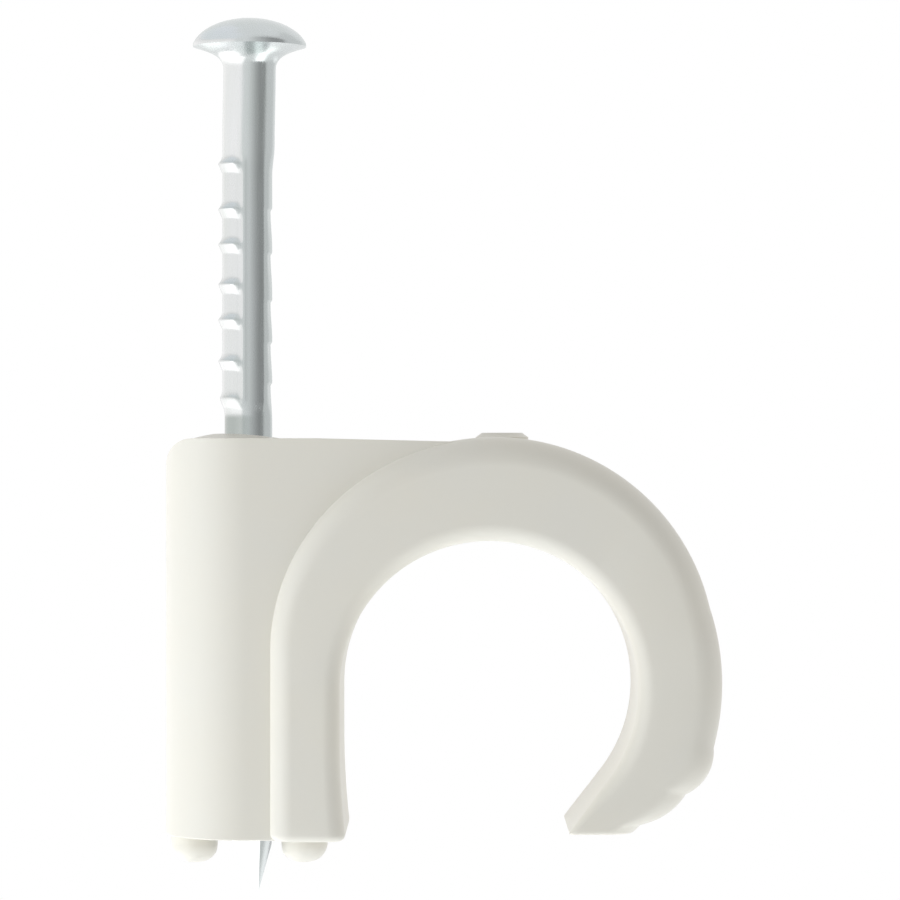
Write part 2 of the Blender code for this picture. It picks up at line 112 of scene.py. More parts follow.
class ClipSizes(bpy.types.PropertyGroup):
    """Sizes of the moulded clip."""
    foot_height: length("Foot height", "How far the feet hold the clip off the wall", 0.00116)
    foot_radius: length("Foot radius", "Radius of each foot", 0.00097)
    foot_rounding: length("Foot rounding", "Rounding of each foot's end", 0.0008)
    foot_offset: length("Foot offset", "How far each foot stands from the nail", 0.00222)
    barrel_radius: length("Barrel radius", "Radius of the barrel round the nail", -CLIP_LOW.x)
    barrel_below_crown: length("Barrel below crown", "How far the barrel's top is below the hook's", 0.00005)
    barrel_corner: length("Barrel corner", "Rounding of its top corner, seen from the front", 0.00118)
    barrel_top_rounding: length("Barrel top rounding", "Rounding of the barrel's top rim", 0.00035)
    web_fall_start: length("Web fall start", "Where the web's top begins to fall towards the hook", 0.0029)
    web_fall: length("Web fall", "How much lower the web's top is where it meets the hook's crown", 0.00017)
    barrel_foot_rounding: length("Barrel foot rounding", "Rounding of the barrel's lower rim", 0.00007)
    collar_height: length("Collar height", "Height of the swelling round the nail hole", 0.00026)
    collar_radius: length("Collar radius", "Half the swelling's width, seen from the front", 0.0018)
    collar_depth: length("Collar depth", "Half the swelling's width, seen from the side", 0.0025)
    collar_offset: length("Collar offset", "How far the swelling's middle is from the nail's axis", -0.00052)
    bore_radius: length("Nail hole radius", "Radius of the hole for the nail", 0.001365)
    lead_in: length("Lead-in", "Chamfer at the mouth of the nail hole", 0.00015)
    seat_radius: length("Seat radius", "Radius of the cable seat", 0.00596)
    seat_clearance: length("Seat clearance", "Height of the seat's low point over the barrel's end", 0.00008)
    lip_tangent: turn("Lip tangent", "Where the seat's wall turns into the straight lip", -37)
    hook_depth: length("Hook depth", "Depth of the hook along the cable", CLIP_HIGH.y - CLIP_LOW.y)
    outer_rim: length("Outer rim", "Rounding of the hook's outer edges", 0.00115)
    leg_rim: length("Leg rim", "Rounding of the leg's outer edges", 0.0009)
    inner_rim: length("Inner rim", "Rounding of the hook's inner edges", 0.0007)
    lip_rim: length("Lip rim", "Rounding of the inner edges at the lip's end", 0.0003)
    leg_start: length("Leg start", "Where the hook's leg begins beside the nail", 0.00098)
    leg_thickness: length("Leg thickness", "Thickness of the hook's leg", 0.0028)
    leg_flare: length("Leg flare", "How much the leg's inner face flares towards the wall", 0.00024)
    leg_flare_height: length("Leg flare height", "How far up the leg the flare reaches", 0.004)
    leg_end_rounding: length("Leg end rounding", "Rounding of the leg's end", 0.0003)
    crown_thickness: length("Crown thickness", "Thickness of the hook over the cable", 0.00416)
    crown_offset: length("Crown offset", "How far the hook's top is from the seat's middle", 0.00026)
    shoulder_above_seat: length("Shoulder height", "Where the shoulder starts over the seat", 0.00156)
    outer_thickness: length("Outer thickness", "Thickness of the hook on its free side", 0.00286)
    lip_height: length("Lip height", "Height of the lip's end over the barrel's end", 0.0003)
    lip_end_rounding: length("Lip end rounding", "Rounding of the lip's end", 0.00014)
    scallop_start: turn("Scallops start", "Where the scallops begin on the hook's outside", 13)
    scallop_first: turn("First hollow", "Where the first hollow between scallops lies", -22.6)
    scallop_end_above_lip: length("Scallops end", "Height of the last hollow over the lip's end", 0.00034)
    scallop_stand_out: length("Scallop stand-out", "How far the scallops stand out of the round", 0.00066)
    scallop_taper: length("Scallop taper", "How much less the last scallop stands out", 0.0006)
    scallop_bulges: lengths("Scallop bulges", "Crown of each scallop", (-0.00003, 0.00029, 0.00017))
    gate_height: length("Gate pip height", "Height of the pip that the moulding gate left", 0.00018)
    gate_length: length("Gate pip length", "Width of the pip at its top", 0.00165)
    gate_slope: length("Gate pip slope", "How much wider the pip is at its foot", 0.00025)
    gate_offset: length("Gate pip offset", "How far the pip is from the hook's highest point", 0.0003)


class NailSizes(bpy.types.PropertyGroup):
    """Sizes of the nail; a way down it is measured from the head's rim."""
    shank_radius: length("Shank radius", "Radius of the wire near the point", 0.00097)
    neck_radius: length("Neck radius", "Radius of the wire under the head", 0.00107)
    neck_bow: length("Neck bow", "How far the wire bows to the barbed side below the neck", 0.000045)
    neck_bow_start: length("Neck bow start", "How far down the bow begins", 0.0008)
    neck_bow_end: length("Neck bow end", "How far down the bow is full", 0.0042)
    head_radius: length("Head radius", "Radius of the head", NAIL_HIGH.x)
    head_dome: length("Head dome", "Height of the head's dome over its rim", 0.00105)
    head_dome_turn: turn("Head dome angle", "How far round the dome bends down to its rim", 76)
    head_rim: length("Head rim", "Height of the head's upright rim", 0.00012)
    head_fillet: length("Head fillet", "Height of the sweep from the head to the neck", 0.00092)
    point_length: length("Point length", "Length of the four-sided point", 0.0032)
    point_lean: length("Point lean", "How far the tip is off the nail's axis", 0.00036)
    point_turn: turn("Point turn", "How the four facets are turned", -22.5)
    barb_places: lengths("Barb places", "How far down each barb's crest is",
                         (0.0049, 0.00675, 0.00818, 0.00982, 0.01126, 0.01294, 0.01445))
    barb_height: length("Barb height", "How far a barb stands out", 0.00017)
    barb_last_height: length("Last barb height", "How far the last barb stands out", 0.0001)
    barb_upper: length("Barb upper flank", "Length of a barb's flank towards the head", 0.00036)
    barb_lower: length("Barb lower flank", "Length of a barb's flank towards the point", 0.0004)
    barb_droop: length("Barb droop", "How far a barb bends towards the point at its front end", 0.00008)
    barb_press: length("Barb press", "How far the wire is pressed in where the barbs end", 0.00004)
    barb_swell: length("Barb swell", "How far the wire swells beside its pressed side", 0.00003)
    die_mark: length("Die mark", "Depth of the faint groove that the die left below each barb", 0.00001)
    die_mark_drop: length("Die mark drop", "Distance of that groove below the barb's crest", 0.00095)
    pressed_start: length("Pressed start", "How far down the pressed side begins", 0.0041)
    pressed_depth: length("Pressed depth", "How far the nail's other side is pressed in", 0.0001)
    pressed_run_in: length("Pressed run-in", "Length over which the pressed side begins", 0.0013)
    notch_places: lengths("Notch places", "How far down each notch is",
                          (0.00677, 0.00857, 0.01051, 0.01222, 0.01388))
    notch_depth: length("Notch depth", "Depth of the notches in the pressed side", 0.00007)
    notch_step: length("Notch step", "Length of a notch's steep side", 0.00016)
    notch_run_out: length("Notch run-out", "Length over which a notch comes out again", 0.0015)
    narrow_start: length("Narrow start", "How far down the wire narrows again", 0.0145)
    narrow_length: length("Narrow length", "Length over which the wire narrows", 0.0007)
    # The next three place the painted shade on the shank next to the clip's mouth; the last also ends the
    # wear and the fine rings
    clip_shade_start: length("Dull start", "How far down the barbed side turns dull", 0.015)
    clip_shade_run_in: length("Dull run-in", "Length over which it turns dull", 0.0003)
    clip_shade_end: length("Dull end", "How far down it is bright again", 0.019)


class ClipFinish(bpy.types.PropertyGroup):
    """Colours and finish of the clip, the nail and the studio."""
    plastic: colour("Plastic", "Warm light grey of the moulding", (0.765, 0.738, 0.655))
    plastic_shade: colour("Plastic, cooler", "The moulding's slightly cooler patches", (0.755, 0.735, 0.665))
    plastic_roughness: amount("Plastic roughness", "How dull the moulding is", 0.42)
    zinc: colour("Zinc", "The nail's bright plating", (0.60, 0.63, 0.64))
    zinc_shade: colour("Zinc, greener", "The plating's slightly greener streaks", (0.55, 0.59, 0.58))
    # The darker zinc stands for painted shade in the barb creases and next to the clip, and for the worn
    # shank
    zinc_painted_shade: colour("Zinc, dull", "The plating in creases and where the clip rubs it", (0.32, 0.36, 0.345))
    zinc_roughness: amount("Zinc roughness", "How dull the plating is", 0.24)
    floor: colour("Floor", "The pale floor", (0.8, 0.8, 0.8))
    key_power: amount("Key light", "Power of the soft light on the left, in watts", 0.11)
    under_power: amount("Lower light", "Power of the soft light from below, in watts", 0.57)
    fill_level: amount("Fill level", "Level of the light that comes from all round", 0.668)
    fill_slant: bpy.props.FloatVectorProperty(
        name="Fill slant", description="How much more of it comes from the right, from behind and from above",
        default=(0.14, 0.18, 0.05), precision=3)


class HookOutline:
    """The hook's inner and outer sides in the XZ plane, worked out from the clip's sizes."""

    def __init__(self, sizes):
        self.sizes = sizes
        self.base = sizes.foot_height
        self.seat = Vector((sizes.leg_start + sizes.leg_thickness + sizes.seat_radius,
                            self.base + sizes.seat_clearance + sizes.seat_radius))
        self.crown = Vector((self.seat.x + sizes.crown_offset,
                             self.seat.y + sizes.seat_radius + sizes.crown_thickness))
        self.barrel_top = self.crown.y - sizes.barrel_below_crown
        self.shoulder_z = self.seat.y + sizes.shoulder_above_seat
        self.outer_radius = sizes.seat_radius + sizes.outer_thickness
        self.outer = Vector((self.crown.x, self.crown.y - self.outer_radius))
        self.lip_z = self.base + sizes.lip_height
        self.bulges = tuple(sizes.scallop_bulges)

    def seat_point(self, run):
        """The seat's wall, by its length from the top towards the lip."""
        sizes = self.sizes
        round_run = (math.pi / 2 - sizes.lip_tangent) * sizes.seat_radius
        angle = math.pi / 2 - min(run, round_run) / sizes.seat_radius
        straight = Vector((math.sin(angle), -math.cos(angle))) * max(0.0, run - round_run)
        return point_at(self.seat, sizes.seat_radius, angle) + straight

    def seat_run_to(self, height):
        """The length of the seat's wall from its top down to a height on the straight lip."""
        sizes = self.sizes
        tangent_z = self.seat.y + sizes.seat_radius * math.sin(sizes.lip_tangent)
        round_run = (math.pi / 2 - sizes.lip_tangent) * sizes.seat_radius
        return round_run + (tangent_z - height) / math.cos(sizes.lip_tangent)

    def leg_pair(self, height):
        """Inner and outer points of the leg at a height."""
        sizes = self.sizes
        share = max(0.0, 1 - (height - self.base) / sizes.leg_flare_height)
        inside = sizes.leg_start + sizes.leg_thickness + sizes.leg_flare * share * share
        return Vector((inside, height)), Vector((sizes.leg_start, height))

    def shoulder_point(self, angle):
        """Where a ray from the seat's middle leaves the hook between its leg and its crown."""
        start_x = self.sizes.leg_start
        ray = Vector((math.cos(angle), math.sin(angle)))
        if ray.x < -SAME:
            on_leg = self.seat + ray * (start_x - self.seat.x) / ray.x
            if on_leg.y < self.shoulder_z:
                return on_leg
        wide, rise = self.crown.x - start_x, self.crown.y - self.shoulder_z
        start = Vector(((self.seat.x - self.crown.x) / wide, (self.seat.y - self.shoulder_z) / rise))
        step = Vector((ray.x / wide, ray.y / rise))
        half = start.dot(step)
        reach = (math.sqrt(half * half - step.dot(step) * (start.dot(start) - 1)) - half) / step.dot(step)
        return self.seat + ray * reach

    def hollow(self, i):
        """Angle and stand-out of a hollow between scallops; number -1 is where they begin."""
        sizes = self.sizes
        if i < 0:
            return sizes.scallop_start, 0.0
        drop = self.outer.y - self.lip_z - sizes.scallop_end_above_lip
        end = -math.asin(drop / (self.outer_radius + sizes.scallop_stand_out - sizes.scallop_taper))
        share = i / (len(self.bulges) - 1)
        first = sizes.scallop_first
        return first + (end - first) * share, sizes.scallop_stand_out - sizes.scallop_taper * share ** 3

    def outside_point(self, i, share):
        """The scalloped outside: part of the way from hollow i - 1 to hollow i."""
        angle_0, out_0 = self.hollow(i - 1)
        angle_1, out_1 = self.hollow(i)
        out = out_0 + (out_1 - out_0) * share + self.bulges[i] * 4 * share * (1 - share)
        return point_at(self.outer, self.outer_radius + out, angle_0 + (angle_1 - angle_0) * share)

    def lip_pair(self, height):
        """Inner and outer points of the lip's end, level with each other."""
        last = self.outside_point(len(self.bulges) - 1, 1.0)
        return self.seat_point(self.seat_run_to(height)), Vector((last.x - (last.y - height), height))

    def stations(self):
        """Pairs of inner and outer points along the hook, from the leg's end to the lip's."""
        sizes = self.sizes
        half_turn = math.pi / 2
        pairs = []
        for i in range(LEG_STEPS):
            pairs.append(self.leg_pair(self.base + (self.seat.y - self.base) * i / LEG_STEPS))
        for i in range(ARC_STEPS):
            angle = math.pi - half_turn * i / ARC_STEPS
            pairs.append((point_at(self.seat, sizes.seat_radius, angle), self.shoulder_point(angle)))
        for i in range(ARC_STEPS):
            angle = half_turn - (half_turn - sizes.scallop_start) * i / ARC_STEPS
            pairs.append((self.seat_point((half_turn - angle) * sizes.seat_radius),
                          point_at(self.outer, self.outer_radius, angle)))
        run_0 = (half_turn - sizes.scallop_start) * sizes.seat_radius
        run_1 = self.seat_run_to(self.lip_z) - sizes.scallop_end_above_lip
        steps = len(self.bulges) * SCALLOP_STEPS
        for i in range(steps + 1):
            scallop = min(i // SCALLOP_STEPS, len(self.bulges) - 1)
            outside = self.outside_point(scallop, i / SCALLOP_STEPS - scallop)
            pairs.append((self.seat_point(run_0 + (run_1 - run_0) * i / steps), outside))
        pairs.append(self.lip_pair(self.lip_z))
        return pairs


def point_at(centre, radius, angle):
    """A point on a circle in the XZ plane."""
    return centre + Vector((math.cos(angle), math.sin(angle))) * radius


def made_of_type(geometry, kind):
    """The vertices, edges or faces in what an operator gives back."""
    return [item for item in geometry if isinstance(item, kind)]


def move(bm, geometry, offset):
    bmesh.ops.translate(bm, vec=offset, verts=made_of_type(geometry, bmesh.types.BMVert))


def flat_plate(bm, wide, tall, centre):
    """A flat rectangle in the XY plane."""
    made = bmesh.ops.create_grid(bm, x_segments=1, y_segments=1, size=0.5)["verts"]
    bmesh.ops.scale(bm, vec=(wide, tall, 1.0), verts=made)
    bmesh.ops.translate(bm, vec=(*centre, 0.0), verts=made)
    return made


def thicken(bm, offset):
    """Makes a flat shape a solid."""
    grown = bmesh.ops.extrude_face_region(bm, geom=bm.faces[:])
    move(bm, grown["geom"], offset)


def slice_off(bm, point, normal, clear=True):
    """Cuts the whole mesh by a plane and gives the new edges."""
    cut = bmesh.ops.bisect_plane(bm, geom=bm.verts[:] + bm.edges[:] + bm.faces[:], dist=SAME,
                                 plane_co=point, plane_no=normal, clear_outer=clear)
    return made_of_type(cut["geom_cut"], bmesh.types.BMEdge)


def round_off(bm, geometry, radius, steps, affect="EDGES"):
    bmesh.ops.bevel(bm, geom=geometry, offset=radius, offset_type="OFFSET", segments=steps, profile=0.5,
                    affect=affect, clamp_overlap=affect == "EDGES", material=-1)


def as_object(name, bm):
    """Makes an object of a mesh, with its faces pointing out."""
    bmesh.ops.recalc_face_normals(bm, faces=bm.faces)
    mesh = bpy.data.meshes.new(name)
    bm.to_mesh(mesh)
    bm.free()
    made = bpy.data.objects.new(name, mesh)
    bpy.context.scene.collection.objects.link(made)
    return made


def combine(piece, operation, **tools):
    """Joins or cuts a piece with each tool in turn, and clears the tools away."""
    for name, bm in tools.items():
        tool = as_object(name, bm)
        step = piece.modifiers.new(name, "BOOLEAN")
        step.object = tool
        step.operation = operation
        step.solver = "EXACT"
        fix_shape(piece)
        bpy.data.objects.remove(tool, do_unlink=True)


def fix_shape(piece):
    """Makes the piece's modifiers part of its mesh."""
    evaluated = piece.evaluated_get(bpy.context.evaluated_depsgraph_get())
    shaped = bpy.data.meshes.new_from_object(evaluated)
    old = piece.data
    piece.modifiers.clear()
    piece.data = shaped
    bpy.data.meshes.remove(old)
    shaped.name = piece.name


def smooth_finish(piece, material, body, node):
    """Shades a piece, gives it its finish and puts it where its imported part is."""
    piece.data.materials.clear()
    piece.data.materials.append(material)
    piece.data.shade_smooth()
    piece.data.set_sharp_from_angle(angle=SHARP_ANGLE)
    weighted = piece.modifiers.new("flat_faces_stay_flat", "WEIGHTED_NORMAL")
    weighted.keep_sharp = True
    fix_shape(piece)
    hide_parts(node)
    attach(piece, body)


def turned(profile, centre_x):
    """Spins a profile of (radius, height) points, open at both ends, into a closed round solid."""
    bm = bmesh.new()
    points = [bm.verts.new((centre_x + radius, 0.0, height)) for radius, height in profile]
    edges = [bm.edges.new(pair) for pair in zip(points, points[1:])]
    bmesh.ops.spin(bm, geom=points + edges, cent=(centre_x, 0.0, 0.0), axis=(0.0, 0.0, 1.0),
                   angle=2 * math.pi, steps=ROUND_STEPS, use_merge=True)
    bmesh.ops.edgeloop_fill(bm, edges=[edge for edge in bm.edges if edge.is_boundary])
    return bm


def hook_section(bm, inner, outer, outer_rim, inner_rim, depth):
    """One rounded rectangle across the hook, from its inner side to its outer side."""
    across = outer - inner
    wide = across.length
    limit = min(1.0, RIM_SHARE * wide / (outer_rim + inner_rim))
    face = flat_plate(bm, wide, depth, (wide / 2, 0.0))[0].link_faces[0]
    for rim, far in ((outer_rim, True), (inner_rim, False)):
        ends = [v for v in face.verts if (v.co.x > wide - SAME if far else v.co.x < SAME)]
        round_off(bm, ends, rim * limit, RIM_STEPS, "VERTICES")
        face = [f for f in bm.faces if f.is_valid][-1]
    x_axis = Vector((across.x, 0.0, across.y)).normalized()
    y_axis = Vector((0.0, 1.0, 0.0))
    z_axis = x_axis.cross(y_axis)
    place = Matrix((x_axis, y_axis, z_axis)).transposed().to_4x4()
    place.translation = (inner.x, 0.0, inner.y)
    bmesh.ops.transform(bm, matrix=place, verts=face.verts[:])
    return face


def hook_bar(outline):
    """The bent bar that holds the cable: sections bridged from the leg over the crown to the lip."""
    sizes = outline.sizes
    bm = bmesh.new()
    sections = []
    pairs = outline.stations()
    lip_start = len(pairs) - 1 - SCALLOP_STEPS
    for i, (inner, outer) in enumerate(pairs):
        rim = sizes.leg_rim + (sizes.outer_rim - sizes.leg_rim) * ease((i - LEG_STEPS) / ARC_STEPS)
        tight = ease((i - lip_start) / SCALLOP_STEPS)
        inner_rim = sizes.inner_rim + (sizes.lip_rim - sizes.inner_rim) * tight
        sections.append(hook_section(bm, inner, outer, rim, inner_rim, sizes.hook_depth))
    loops = [face.edges[:] for face in sections]
    bmesh.ops.delete(bm, geom=sections[1:-1], context="FACES_ONLY")
    for first, second in zip(loops, loops[1:]):
        bmesh.ops.bridge_loops(bm, edges=first + second)
    bmesh.ops.recalc_face_normals(bm, faces=bm.faces)
    round_off(bm, loops[0], sizes.leg_end_rounding, BEVEL_STEPS)
    bm.edges.ensure_lookup_table()
    lip = [edge for edge in bm.edges if edge.is_valid
           and all(abs(v.co.z - outline.lip_z) < SAME for v in edge.verts)
           and all(v.co.x > outline.seat.x for v in edge.verts)]
    round_off(bm, lip, sizes.lip_end_rounding, BEVEL_STEPS)
    return bm


def barrel_and_web(outline):
    """The round-ended upright block that carries the nail, still too tall."""
    sizes = outline.sizes
    bm = bmesh.new()
    bmesh.ops.create_circle(bm, cap_ends=True, radius=sizes.barrel_radius, segments=ROUND_STEPS)
    bmesh.ops.translate(bm, vec=(0.0, 0.0, outline.base), verts=bm.verts)
    straight = slice_off(bm, (0.0, 0.0, 0.0), (1.0, 0.0, 0.0))
    web = bmesh.ops.extrude_edge_only(bm, edges=straight)
    move(bm, web["geom"], (outline.crown.x, 0.0, 0.0))
    thicken(bm, (0.0, 0.0, outline.crown.y))
    bmesh.ops.recalc_face_normals(bm, faces=bm.faces)
    rim = [edge for edge in bm.edges if all(abs(v.co.z - outline.base) < SAME for v in edge.verts)
           and min(v.co.x for v in edge.verts) < outline.crown.x - SAME
           and edge.calc_face_angle(0.0) > SHARP_ANGLE]
    round_off(bm, rim, sizes.barrel_foot_rounding, BEVEL_STEPS)
    return bm


def side_view(outline):
    """The block's shape from the front: rounded top corner, and a top that falls towards the hook."""
    sizes = outline.sizes
    left, right = -2 * sizes.barrel_radius, outline.crown.x
    low, high = 0.0, outline.barrel_top
    bm = bmesh.new()
    flat_plate(bm, right - left, high - low, ((left + right) / 2, (low + high) / 2))
    for place in (-sizes.barrel_radius, sizes.web_fall_start):
        slice_off(bm, (place, 0.0, 0.0), (1.0, 0.0, 0.0), clear=False)
    slice_off(bm, (-sizes.barrel_radius, 0.0, 0.0), (-1.0, 0.0, 0.0))
    for v in bm.verts:
        if v.co.x > right - SAME and v.co.y > high - SAME:
            v.co.y -= sizes.web_fall
    corner = [v for v in bm.verts if v.co.x < SAME - sizes.barrel_radius and v.co.y > high - SAME]
    round_off(bm, corner, sizes.barrel_corner, ARC_STEPS, "VERTICES")
    bmesh.ops.transform(bm, matrix=STAND_UP, verts=bm.verts)
    bmesh.ops.translate(bm, vec=(0.0, sizes.hook_depth, 0.0), verts=bm.verts)
    thicken(bm, (0.0, -2 * sizes.hook_depth, 0.0))
    return bm


def soften_top(moulding, outline):
    """Rounds the block's top rim."""
    sizes = outline.sizes
    bm = bmesh.new()
    bm.from_mesh(moulding.data)
    rim = []
    for edge in bm.edges:
        places = [v.co for v in edge.verts]
        tops = [face.normal.z > UPWARD and abs(face.normal.y) < SAME for face in edge.link_faces]
        if (sorted(tops) == [False, True] and max(v.x for v in places) < outline.crown.x - SAME
                and edge.calc_face_angle(0.0) > SHARP_ANGLE):
            rim.append(edge)
    round_off(bm, rim, sizes.barrel_top_rounding, TOP_RIM_STEPS)
    bm.to_mesh(moulding.data)
    bm.free()


def cable_space(outline):
    """What the web leaves open: the seat and its mouth, grown to the middle of the hook's wall."""
    sizes = outline.sizes
    grown = sizes.seat_radius + sizes.leg_thickness / 2
    bm = bmesh.new()
    bmesh.ops.create_circle(bm, cap_ends=True, radius=grown, segments=ROUND_STEPS)
    straight = slice_off(bm, (0.0, 0.0, 0.0), (0.0, -1.0, 0.0))
    mouth = bmesh.ops.extrude_edge_only(bm, edges=straight)
    move(bm, mouth["geom"], (0.0, -outline.seat.y - sizes.foot_height, 0.0))
    bmesh.ops.transform(bm, matrix=STAND_UP, verts=bm.verts)
    bmesh.ops.translate(bm, vec=(outline.seat.x, -sizes.hook_depth, outline.seat.y), verts=bm.verts)
    thicken(bm, (0.0, 2 * sizes.hook_depth, 0.0))
    return bm


def foot(outline, centre_x):
    sizes = outline.sizes
    flat = sizes.foot_radius - sizes.foot_rounding
    profile = []
    for i in range(DOME_STEPS + 1):
        angle = math.pi / 2 * i / DOME_STEPS
        profile.append((flat + sizes.foot_rounding * math.sin(angle),
                        sizes.foot_rounding * (1 - math.cos(angle))))
    profile.append((sizes.foot_radius, outline.base + sizes.foot_radius))
    return turned(profile, centre_x)


def collar(outline):
    """The low swelling round the mouth of the nail hole."""
    sizes = outline.sizes
    profile = [(sizes.collar_radius, outline.barrel_top - sizes.collar_height)]
    for i in range(DOME_STEPS):
        share = 1 - i / DOME_STEPS
        profile.append((sizes.collar_radius * share,
                        outline.barrel_top + sizes.collar_height * (1 - share * share)))
    bm = turned(profile, 0.0)
    bmesh.ops.scale(bm, vec=(1.0, sizes.collar_depth / sizes.collar_radius, 1.0), verts=bm.verts)
    bmesh.ops.translate(bm, vec=(sizes.collar_offset, 0.0, 0.0), verts=bm.verts)
    return bm


def gate_pip(outline):
    """The low round pip that the moulding gate left on the crown."""
    sizes = outline.sizes
    crown_z = outline.crown.y
    wide = sizes.gate_length / 2 + sizes.gate_slope
    top = crown_z + sizes.gate_height
    return turned([(wide, crown_z - 2 * sizes.gate_height), (wide, crown_z), (sizes.gate_length / 2, top)],
                  outline.crown.x + sizes.gate_offset)


def nail_hole(outline):
    sizes = outline.sizes
    top = outline.barrel_top + sizes.collar_height
    mouth = sizes.bore_radius + sizes.lead_in
    return turned([(sizes.bore_radius, 0.0), (sizes.bore_radius, top - sizes.lead_in), (mouth, top),
                   (mouth, top + sizes.lead_in)], 0.0)


# Angles round the shank from the nail's front or back: where a barb begins, where it has left
# the round of the wire, and where it stands out in full
BARB_SIDE_START = math.radians(9)
BARB_SIDE_FULL = math.radians(19)
BARB_TALL = math.radians(36)
# How much of its height a barb has at its front end
BARB_FRONT = 0.5
# Angles where the other side begins to be pressed in, and where it is so in full
PRESSED_SIDE_START = math.radians(37)
PRESSED_SIDE_FULL = math.radians(76)
# Where the painted shade next to the clip fades in round the shank, and how long that painted shade and the
# wear take to end towards the point
CLIP_SHADE_SIDE = (math.radians(-45), math.radians(40))
CLIP_SHADE_END_RUN = 0.001
# How dark the worn shank is, how dark the painted shade in the creases over the barbs is, and how high that
# painted shade reaches
WORN = 0.14
CREASE_SHADE = 0.35
CREASE_ABOVE = 0.00012
# Distance between the shank's rings
FINE_STEP = 0.00004
FACETS = 4
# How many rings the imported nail's dome has
PACKED_DOME_RINGS = 6
# Handles of the curve under the head: the first one's way in, and how far down both are
SWEEP_IN = 0.61
SWEEP_DROPS = (0.25, 0.44)


def ease(share):
    """0 to 1 with a soft start and end."""
    share = min(1.0, max(0.0, share))
    return share * share * (3 - 2 * share)


def barb_relief(drop, sizes):
    """How far the barbed side stands out of the wire at a distance below the head's rim."""
    out = 0.0
    last = len(sizes.barb_places) - 1
    for i, place in enumerate(sizes.barb_places):
        tall = sizes.barb_last_height if i == last else sizes.barb_height
        if drop < place:
            out = max(out, tall * max(0.0, 1 - (place - drop) / sizes.barb_upper) ** 2)
        else:
            out = max(out, tall * max(0.0, 1 - (drop - place) / sizes.barb_lower))
        if i < last:
            mark = abs(drop - place - sizes.die_mark_drop) / sizes.barb_upper
            out -= sizes.die_mark * ease(1 - mark)
    return out


def notch_relief(drop, sizes):
    """How far the pressed side sinks at a distance below the head's rim: sudden in, slow out."""
    sink = 0.0
    for place in sizes.notch_places:
        sink_in = ease((drop - place) / sizes.notch_step + 0.5)
        way_out = 1 - ease((drop - place - sizes.notch_step / 2) / sizes.notch_run_out)
        sink = max(sink, sink_in * way_out)
    return sizes.notch_depth * sink


def barb_shares(angle):
    """How far a place on the barbed side is off the wire's round, and how tall a barb is there."""
    run = angle - BARB_SIDE_START
    return ease(run / (BARB_SIDE_FULL - BARB_SIDE_START)), ease(run / (BARB_TALL - BARB_SIDE_START))


def barbed_side(angle, drop, sizes):
    """How far the barbed side stands out, by the angle from the nail's front or back."""
    spread, tall = barb_shares(angle)
    first, last = sizes.barb_places[0], sizes.barb_places[-1]
    zone = ease((drop - first) / sizes.barb_upper + 1) * ease((last - drop) / sizes.barb_lower + 1)
    relief = barb_relief(drop - sizes.barb_droop * (1 - tall), sizes)
    relief *= BARB_FRONT + (1 - BARB_FRONT) * tall
    swell = sizes.barb_swell * zone * ease(angle / BARB_SIDE_START) * (1 - spread)
    return spread * (relief - sizes.barb_press * zone * (1 - tall)) + swell


def painted_shade_and_wear(angle, drop, sizes):
    """How much darker zinc goes on: painted shade in the creases over the barbs and next to the clip's mouth,
    and a faint wear lower down.
    """
    first, last = CLIP_SHADE_SIDE
    above_point = 1 - ease((drop - sizes.clip_shade_end) / CLIP_SHADE_END_RUN)
    near_clip_shade = ease((drop - sizes.clip_shade_start) / sizes.clip_shade_run_in) * ease((angle - first) / (last - first))
    worn = WORN * ease((drop - sizes.pressed_start) / sizes.pressed_run_in)
    spread, tall = barb_shares(angle)
    crease = 0.0
    for place in sizes.barb_places:
        above = place + sizes.barb_droop * (1 - tall) - drop
        crease = max(crease, ease(1 - abs(above - FINE_STEP) / CREASE_ABOVE))
    return max(above_point * max(near_clip_shade, worn), CREASE_SHADE * crease * spread)


def shape_shank(bm, sizes, rim_z):
    """Presses the barbs out of the nail's one side and the notches into its other."""
    # Each vertex gets how much painted shade, and wear, its zinc takes
    dull = bm.verts.layers.float.new("painted_shade_and_wear")
    neck_end = sizes.head_rim + sizes.head_fillet
    for v in bm.verts:
        drop = rim_z - v.co.z
        around = Vector((v.co.x, v.co.y))
        if drop < neck_end or around.length < sizes.shank_radius / 2:
            continue
        side_angle = math.asin(max(-1.0, min(1.0, around.x / around.length)))
        narrow = ease((drop - sizes.narrow_start) / sizes.narrow_length)
        radius = sizes.neck_radius + (sizes.shank_radius - sizes.neck_radius) * narrow
        v[dull] = painted_shade_and_wear(-side_angle, drop, sizes)
        if side_angle < 0:
            radius += barbed_side(-side_angle, drop, sizes)
        else:
            spread = ease((side_angle - PRESSED_SIDE_START) / (PRESSED_SIDE_FULL - PRESSED_SIDE_START))
            pressed = ease((drop - sizes.pressed_start) / sizes.pressed_run_in) * (1 - narrow)
            radius -= spread * (sizes.pressed_depth * pressed + notch_relief(drop, sizes))
        around *= radius / around.length
        bow = ease((drop - sizes.neck_bow_start) / (sizes.neck_bow_end - sizes.neck_bow_start))
        v.co.x, v.co.y = around.x - sizes.neck_bow * bow, around.y


